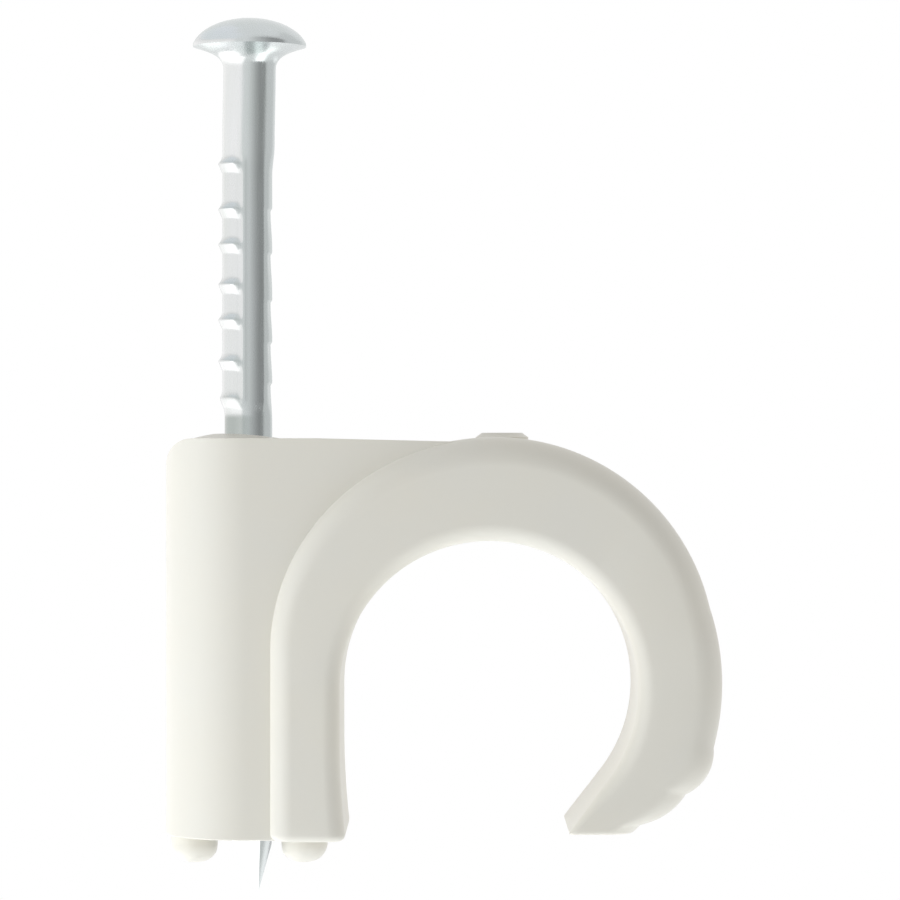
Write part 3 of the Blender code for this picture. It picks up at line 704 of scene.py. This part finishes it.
def nail_profile(sizes, rim_z, tip_z):
    """(radius, height) from the top of the head down past the point."""
    profile = []
    bend = sizes.head_dome_turn
    for i in range(1, DOME_STEPS * 2 + 1):
        angle = bend * i / (DOME_STEPS * 2)
        rise = (math.cos(angle) - math.cos(bend)) / (1 - math.cos(bend))
        profile.append((sizes.head_radius * math.sin(angle) / math.sin(bend), rim_z + sizes.head_dome * rise))
    low_rim = rim_z - sizes.head_rim
    wide = sizes.head_radius - sizes.neck_radius
    neck_z = low_rim - sizes.head_fillet
    first_drop, second_drop = (share * sizes.head_fillet for share in SWEEP_DROPS)
    sweep = ((sizes.head_radius, low_rim), (sizes.head_radius - SWEEP_IN * wide, low_rim - first_drop),
             (sizes.neck_radius, low_rim - second_drop), (sizes.neck_radius, neck_z))
    sweep = [Vector((radius, height, 0.0)) for radius, height in sweep]
    for point in interpolate_bezier(*sweep, DOME_STEPS * 2 + 1):
        profile.append((point.x, point.y))
    fine_end = rim_z - sizes.clip_shade_end
    height = neck_z
    while height > fine_end:
        height -= FINE_STEP
        profile.append((sizes.neck_radius, height))
    profile.append((sizes.shank_radius, tip_z - sizes.shank_radius))
    return profile


def cut_point(bm, sizes, tip_z):
    """Shears the shank to a leaning point with four flat facets."""
    tip = Vector((sizes.point_lean, 0.0, tip_z))
    for i in range(FACETS):
        angle = sizes.point_turn - i * 2 * math.pi / FACETS
        outward = Vector((math.cos(angle), math.sin(angle), 0.0))
        wide = sizes.shank_radius - tip.dot(outward)
        normal = (outward * sizes.point_length - Vector((0.0, 0.0, wide))).normalized()
        rim = slice_off(bm, tip, normal)
        bmesh.ops.edgeloop_fill(bm, edges=rim)


# Sockets of a mix node that is set to colours
MIX_SHARE, MIX_FIRST, MIX_SECOND = 0, 6, 7
MIX_RESULT = 2
# Scale and stretch of the soft patches, the same for the fine grain, and the grain's relief
PLASTIC_TEXTURE = ((260.0, (1, 1, 1)), (5200.0, (1, 1, 1)), 0.000002)
ZINC_TEXTURE = ((900.0, (1, 1, 0.12)), (9000.0, (1, 1, 0.05)), 0.0000008)
# How much below and above its own roughness each material goes
PLASTIC_SPREAD = (0.05, 0.05)
ZINC_SPREAD = (0.06, 0.08)
# Detail, roughness, and the range that is kept of each noise
PATCH_NOISE = (4.0, 0.55, 0.3, 0.7)
GRAIN_NOISE = (3.0, 0.6, 0.25, 0.75)


def add_node(tree, kind, place, inputs=None, **settings):
    """Adds a shader node, sets what it is and the values on its own sockets."""
    node = tree.nodes.new(kind)
    node.location = place
    for name, value in settings.items():
        setattr(node, name, value)
    for name, value in (inputs or {}).items():
        node.inputs[name].default_value = value
    return node


def new_group(name, inputs, outputs):
    """An empty shader group with its sockets, each by its name and kind."""
    group = bpy.data.node_groups.new(name, "ShaderNodeTree")
    for direction, sockets in (("INPUT", inputs), ("OUTPUT", outputs)):
        for label, kind in sockets.items():
            group.interface.new_socket(name=label, in_out=direction, socket_type="NodeSocket" + kind)
    return group


def new_material(name):
    """A material and its node tree."""
    made = bpy.data.materials.new(name)
    made.use_nodes = True
    return made, made.node_tree


def wire(tree, *links):
    """Links nodes; each link is (node, its output, node, its input)."""
    for source, output, target, socket in links:
        tree.links.new(source.outputs[output], target.inputs[socket])


def levelled_noise(group, detail, roughness, lowest, highest):
    """Noise on the piece's own coordinates, with its middle range spread from 0 to 1."""
    ins = add_node(group, "NodeGroupInput", (-900, 0))
    place = add_node(group, "ShaderNodeTexCoord", (-900, -300))
    stretch = add_node(group, "ShaderNodeMapping", (-650, -100))
    noise = add_node(group, "ShaderNodeTexNoise", (-400, -100), {"Detail": detail, "Roughness": roughness})
    levels = add_node(group, "ShaderNodeMapRange", (-150, -100), {"From Min": lowest, "From Max": highest})
    wire(group, (place, "Object", stretch, "Vector"), (ins, "Stretch", stretch, "Scale"),
         (stretch, "Vector", noise, "Vector"), (ins, "Scale", noise, "Scale"),
         (noise, "Fac", levels, "Value"))
    return ins, noise, levels


def patch_group():
    """Soft patches of two close colours."""
    found = bpy.data.node_groups.get("Soft Patches")
    if found:
        return found
    group = new_group("Soft Patches",
                      {"Colour": "Color", "Patch Colour": "Color", "Scale": "Float", "Stretch": "Vector"},
                      {"Colour": "Color"})
    ins, _, levels = levelled_noise(group, *PATCH_NOISE)
    blend = add_node(group, "ShaderNodeMix", (150, 50), data_type="RGBA")
    outs = add_node(group, "NodeGroupOutput", (400, 0))
    wire(group, (levels, "Result", blend, MIX_SHARE), (ins, "Colour", blend, MIX_FIRST),
         (ins, "Patch Colour", blend, MIX_SECOND), (blend, MIX_RESULT, outs, "Colour"))
    return group


def grain_group():
    """Fine relief and the change in roughness that comes with it."""
    found = bpy.data.node_groups.get("Fine Grain")
    if found:
        return found
    group = new_group("Fine Grain",
                      {"Scale": "Float", "Stretch": "Vector", "Least Roughness": "Float",
                       "Most Roughness": "Float"},
                      {"Height": "Float", "Roughness": "Float"})
    ins, noise, levels = levelled_noise(group, *GRAIN_NOISE)
    outs = add_node(group, "NodeGroupOutput", (400, 0))
    wire(group, (ins, "Least Roughness", levels, "To Min"), (ins, "Most Roughness", levels, "To Max"),
         (noise, "Fac", outs, "Height"), (levels, "Result", outs, "Roughness"))
    return group


def finish_material(name, colours, texture, roughness, spread, constants):
    """A material of soft patches and fine grain; constants are set on the shader itself."""
    (patch_scale, patch_stretch), (grain_scale, grain_stretch), relief = texture
    made, tree = new_material(name)
    shader = tree.nodes["Principled BSDF"]
    for socket, value in constants.items():
        shader.inputs[socket].default_value = value
    patches = add_node(tree, "ShaderNodeGroup", (-600, 200),
                       {"Colour": (*colours[0], 1), "Patch Colour": (*colours[1], 1),
                        "Scale": patch_scale, "Stretch": patch_stretch}, node_tree=patch_group())
    grain = add_node(tree, "ShaderNodeGroup", (-600, -150),
                     {"Scale": grain_scale, "Stretch": grain_stretch,
                      "Least Roughness": roughness - spread[0],
                      "Most Roughness": roughness + spread[1]}, node_tree=grain_group())
    bump = add_node(tree, "ShaderNodeBump", (-250, -300), {"Strength": 1.0, "Distance": relief})
    wire(tree, (patches, "Colour", shader, "Base Color"), (grain, "Roughness", shader, "Roughness"),
         (grain, "Height", bump, "Height"), (bump, "Normal", shader, "Normal"))
    return made


def paint_shade_places(material, tone):
    """Mixes the darker zinc in where the piece's own mask of painted shade and wear says so."""
    tree = material.node_tree
    shader = tree.nodes["Principled BSDF"]
    patches = shader.inputs["Base Color"].links[0].from_node
    mask = add_node(tree, "ShaderNodeAttribute", (-600, 450), attribute_name="painted_shade_and_wear")
    mix = add_node(tree, "ShaderNodeMix", (-300, 350), {MIX_SECOND: (*tone, 1)}, data_type="RGBA")
    wire(tree, (mask, "Fac", mix, MIX_SHARE), (patches, "Colour", mix, MIX_FIRST),
         (mix, MIX_RESULT, shader, "Base Color"))


class CLIP_OT_add_moulding(bpy.types.Operator):
    """Models the moulded clip: barrel, web, hook, feet, collar and gate pip in one piece"""
    bl_idname = "cable_clip.add_moulding"
    bl_label = "Add Moulded Clip"

    def execute(self, context):
        finish = context.scene.clip_finish
        outline = HookOutline(context.scene.clip_sizes)
        moulding = as_object("clip_moulding", barrel_and_web(outline))
        combine(moulding, "INTERSECT", side_view=side_view(outline))
        soften_top(moulding, outline)
        offset = outline.sizes.foot_offset
        combine(moulding, "DIFFERENCE", cable_space=cable_space(outline))
        combine(moulding, "UNION", hook_bar=hook_bar(outline), foot_barrel_side=foot(outline, -offset),
                foot_hook_side=foot(outline, offset), collar=collar(outline), gate_pip=gate_pip(outline))
        combine(moulding, "DIFFERENCE", nail_hole=nail_hole(outline))
        plastic = finish_material("moulded_plastic", (finish.plastic, finish.plastic_shade),
                                  PLASTIC_TEXTURE, finish.plastic_roughness, PLASTIC_SPREAD,
                                  {"Metallic": 0.0, "Specular IOR Level": 0.45})
        smooth_finish(moulding, plastic, "clip", "clip_body")
        hide_from(moulding, "glossy")
        return {"FINISHED"}


class CLIP_OT_add_nail(bpy.types.Operator):
    """Models the zinc-plated nail: domed head, neck, barbs, notches and four-sided point"""
    bl_idname = "cable_clip.add_nail"
    bl_label = "Add Nail"

    def execute(self, context):
        finish = context.scene.clip_finish
        sizes = context.scene.nail_sizes
        rim_z = NAIL_HIGH.z - sizes.head_dome + head_top_loss(sizes)
        tip_z = NAIL_LOW.z
        bm = turned(nail_profile(sizes, rim_z, tip_z), 0.0)
        shape_shank(bm, sizes, rim_z)
        bmesh.ops.recalc_face_normals(bm, faces=bm.faces)
        cut_point(bm, sizes, tip_z)
        nail = as_object("barbed_nail", bm)
        zinc = finish_material("zinc_plating", (finish.zinc, finish.zinc_shade), ZINC_TEXTURE,
                               finish.zinc_roughness, ZINC_SPREAD, {"Metallic": 1.0})
        # Paints shade into the zinc colour in the barb creases and next to the clip
        paint_shade_places(zinc, finish.zinc_painted_shade)
        smooth_finish(nail, zinc, "nail", "nail")
        return {"FINISHED"}


def head_top_loss(sizes):
    """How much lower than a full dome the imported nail's flat top ring is."""
    first = sizes.head_dome_turn / PACKED_DOME_RINGS
    full = 1 - math.cos(sizes.head_dome_turn)
    return sizes.head_dome * (1 - math.cos(first)) / full


FLOOR_DROP = 0.018
FLOOR_SIZE = 3.0
CAMERA_PLACE = (0.00818, -0.17, 0.0168)
CAMERA_LENS = 166.6
CAMERA_SENSOR = 36.0
CAMERA_NEAR = 0.01
AIM = Vector((0.008, 0.0, 0.0125))
WHITE = (1.0, 1.0, 1.0)
WARM = (1.0, 0.955, 0.955)
COOL = (0.905, 0.955, 1.0)
PALE_BLUE = (0.955, 0.965, 1.0)
# Corners of the cards that the nail mirrors, seen from above
LEFT_SIDE = ((-0.117, -0.221), (-0.25, 0.0), (-0.12, 0.27))
FRONT_SIDE = ((-0.078, -0.29), (0.3, -0.055))
RIGHT_SIDE = ((0.3, -0.055), (0.2, 0.2))
BEHIND_RIGHT = ((0.19, 0.15), (0.12, 0.22))
BEHIND = ((-0.078, 0.3), (-0.03, 0.3))
# Each upright card: name, corners, lowest and highest point, colour, the axis that its level runs
# along, and a place on that axis with the level there, twice
CARDS = (
    ("low_card", LEFT_SIDE, (-0.7, 0.0), WARM, "Z", (-0.12, 2.1), (0.0, 1.42)),
    ("white_card", LEFT_SIDE, (0.0, 0.16), WARM, "Z", (0.06, 1.4), (0.18, 1.05)),
    ("high_card", LEFT_SIDE, (0.16, 0.8), PALE_BLUE, "Z", (0.16, 1.12), (0.3, 1.1)),
    ("grey_card", FRONT_SIDE, (-0.12, 0.4), WHITE, "X", (-0.03, 1.0), (0.19, 0.38)),
    ("pale_card", RIGHT_SIDE, (-0.12, 0.4), WHITE, "X", (0.0, 0.84), (0.1, 0.84)),
    ("point_card", BEHIND_RIGHT, (-0.13, -0.03), WHITE, "Z", (-0.1, 1.35), (0.0, 1.35)),
    ("rim_card", BEHIND, (-0.2, -0.09), WHITE, "Z", (-0.1, 1.9), (0.0, 1.9)),
)
# The two long sides of a bent strip that lies flat below the clip, its depth and its level
STRIP_LEFT = ((0.157, -0.349), (0.054, 0.024), (0.015, 0.174), (0.0, 0.262))
STRIP_RIGHT = ((0.388, -0.175), (0.109, 0.097), (0.075, 0.227), (0.07, 0.299))
STRIP_DROP = 0.2
STRIP_LEVEL = 2.2
# Place and size of the two lamps
KEY_LIGHT = ((-0.1, -0.042, -0.012), 0.12)
LOWER_LIGHT = ((0.03, -0.04, -0.3), 0.3)
FLOOR_ROUGHNESS = 0.9
# Distances over which the floor turns white
FLOOR_FADE = (0.06, 0.14)


class CLIP_OT_add_studio(bpy.types.Operator):
    """Sets a pale floor, soft lights, a white background and the camera"""
    bl_idname = "cable_clip.add_studio"
    bl_label = "Add Studio"

    def execute(self, context):
        finish = context.scene.clip_finish
        add_floor(finish)
        add_lamp("key_light", *KEY_LIGHT, finish.key_power, COOL)
        add_lamp("lower_light", *LOWER_LIGHT, finish.under_power, COOL)
        for name, side, (low, high), *look in CARDS:
            rows = [[(x, y, height) for x, y in side] for height in (low, high)]
            add_card(name, rows, *look)
        strip = [[(x, y, -STRIP_DROP) for x, y in side] for side in (STRIP_LEFT, STRIP_RIGHT)]
        add_card("strip_card", strip, WHITE, "Z", (-STRIP_DROP, STRIP_LEVEL), (0.0, STRIP_LEVEL))
        set_background(finish.fill_level, finish.fill_slant)
        add_camera()
        context.scene.view_settings.view_transform = "Standard"
        return {"FINISHED"}


def hide_from(made, *rays):
    """Keeps an object out of what some kinds of ray see."""
    for ray in rays:
        setattr(made, "visible_" + ray, False)


def add_floor(finish):
    bm = bmesh.new()
    bmesh.ops.create_grid(bm, x_segments=1, y_segments=1, size=FLOOR_SIZE / 2)
    bmesh.ops.translate(bm, vec=(AIM.x, AIM.y, -FLOOR_DROP), verts=bm.verts)
    floor = as_object("floor", bm)
    made, tree = new_material("pale_floor")
    shader = tree.nodes["Principled BSDF"]
    shader.inputs["Base Color"].default_value = (*finish.floor, 1)
    shader.inputs["Roughness"].default_value = FLOOR_ROUGHNESS
    output = tree.nodes["Material Output"]
    place = add_node(tree, "ShaderNodeTexCoord", (-900, 300))
    reach = add_node(tree, "ShaderNodeVectorMath", (-700, 300), operation="LENGTH")
    fade = add_node(tree, "ShaderNodeMapRange", (-450, 300),
                    {"From Min": FLOOR_FADE[0], "From Max": FLOOR_FADE[1]},
                    interpolation_type="SMOOTHSTEP")
    white = add_node(tree, "ShaderNodeEmission", (0, -300), {"Color": (1, 1, 1, 1), "Strength": 1.0})
    mix = add_node(tree, "ShaderNodeMixShader", (300, 0))
    wire(tree, (place, "Object", reach, 0), (reach, "Value", fade, "Value"), (fade, "Result", mix, 0),
         (shader, 0, mix, 1), (white, 0, mix, 2), (mix, 0, output, "Surface"))
    floor.data.materials.append(made)
    hide_from(floor, "diffuse", "glossy", "shadow", "transmission")


def aim_at(place, target):
    return (target - Vector(place)).to_track_quat("-Z", "Y").to_euler()


def add_lamp(name, place, size, power, tone):
    """A square soft light that points at the clip, and that neither the picture nor the nail shows."""
    light = bpy.data.lights.new(name, "AREA")
    light.shape = "SQUARE"
    light.size = size
    light.energy = power
    light.color = tone
    lamp = bpy.data.objects.new(name, light)
    lamp.location = place
    lamp.rotation_euler = aim_at(place, AIM)
    hide_from(lamp, "camera", "glossy")
    bpy.context.scene.collection.objects.link(lamp)


def add_card(name, rows, tone, axis, first, last):
    """A glowing card that only mirroring surfaces see; its level runs along an axis."""
    bm = bmesh.new()
    bmesh.ops.create_grid(bm, x_segments=len(rows[0]) - 1, y_segments=1, size=0.5)
    for vertex, place in zip(bm.verts, rows[0] + rows[1]):
        vertex.co = place
    card = as_object(name, bm)
    made, tree = new_material(name)
    output = tree.nodes["Material Output"]
    place = add_node(tree, "ShaderNodeTexCoord", (-900, 0))
    parts = add_node(tree, "ShaderNodeSeparateXYZ", (-700, 0))
    level = add_node(tree, "ShaderNodeMapRange", (-450, 0),
                     {"From Min": first[0], "From Max": last[0], "To Min": first[1], "To Max": last[1]},
                     interpolation_type="SMOOTHSTEP" if axis == "X" else "LINEAR")
    glow = add_node(tree, "ShaderNodeEmission", (0, 0), {"Color": (*tone, 1)})
    wire(tree, (place, "Object", parts, 0), (parts, axis, level, "Value"),
         (level, "Result", glow, "Strength"), (glow, 0, output, "Surface"))
    card.data.materials.append(made)
    hide_from(card, "camera", "diffuse", "shadow", "transmission")


def set_background(level, slant):
    """White to the camera and in mirrored views, and a plain soft light from all round."""
    world = bpy.data.worlds.new("studio")
    world.use_nodes = True
    bpy.context.scene.world = world
    tree = world.node_tree
    tree.nodes.clear()
    ray = add_node(tree, "ShaderNodeLightPath", (-700, 300))
    seen = add_node(tree, "ShaderNodeMath", (-450, 350), operation="MAXIMUM")
    shown = add_node(tree, "ShaderNodeMath", (-250, 300), operation="MAXIMUM")
    way = add_node(tree, "ShaderNodeTexCoord", (-900, 50))
    lean = add_node(tree, "ShaderNodeVectorMath", (-700, 50), {1: slant}, operation="DOT_PRODUCT")
    total = add_node(tree, "ShaderNodeMath", (-500, 50), {1: level}, operation="ADD")
    soft = add_node(tree, "ShaderNodeBackground", (-250, 50), {"Color": (1, 1, 1, 1)})
    white = add_node(tree, "ShaderNodeBackground", (-250, -150), {"Color": (1, 1, 1, 1), "Strength": 1.0})
    mix = add_node(tree, "ShaderNodeMixShader", (50, 150))
    output = add_node(tree, "ShaderNodeOutputWorld", (300, 150))
    wire(tree, (way, "Generated", lean, 0), (lean, "Value", total, 0), (total, 0, soft, "Strength"),
         (ray, "Is Camera Ray", seen, 0), (ray, "Is Glossy Ray", seen, 1), (seen, 0, shown, 0),
         (ray, "Is Transmission Ray", shown, 1), (shown, 0, mix, 0), (soft, 0, mix, 1),
         (white, 0, mix, 2), (mix, 0, output, "Surface"))


def add_camera():
    data = bpy.data.cameras.new("camera")
    data.lens = CAMERA_LENS
    data.sensor_width = CAMERA_SENSOR
    data.clip_start = CAMERA_NEAR
    camera = bpy.data.objects.new("camera", data)
    camera.location = CAMERA_PLACE
    camera.rotation_euler = (math.pi / 2, 0.0, 0.0)
    bpy.context.scene.collection.objects.link(camera)
    bpy.context.scene.camera = camera


class CLIP_PT_panel(bpy.types.Panel):
    """Lists the steps that make the clip and its studio"""
    bl_label = "Nail-in Cable Clip"
    bl_idname = "CLIP_PT_panel"
    bl_space_type = "VIEW_3D"
    bl_region_type = "UI"
    bl_category = "Cable Clip"

    def draw(self, context):
        layout = self.layout
        for operator in STEPS:
            layout.operator(operator.bl_idname)
        for group in GROUPS:
            box = layout.box()
            values = getattr(context.scene, group)
            for name in values.__annotations__:
                box.prop(values, name)


STEPS = (CLIP_OT_add_moulding, CLIP_OT_add_nail, CLIP_OT_add_studio)
GROUPS = {"clip_sizes": ClipSizes, "nail_sizes": NailSizes, "clip_finish": ClipFinish}
CLASSES = (*GROUPS.values(), *STEPS, CLIP_PT_panel)


def register():
    for item in CLASSES:
        bpy.utils.register_class(item)
    for name, group in GROUPS.items():
        setattr(bpy.types.Scene, name, bpy.props.PointerProperty(type=group))


def unregister():
    for name in GROUPS:
        delattr(bpy.types.Scene, name)
    for item in reversed(CLASSES):
        bpy.utils.unregister_class(item)


def main():
    register()
    bpy.ops.cable_clip.add_moulding()
    bpy.ops.cable_clip.add_nail()
    bpy.ops.cable_clip.add_studio()


if __name__ == "__main__":
    main()
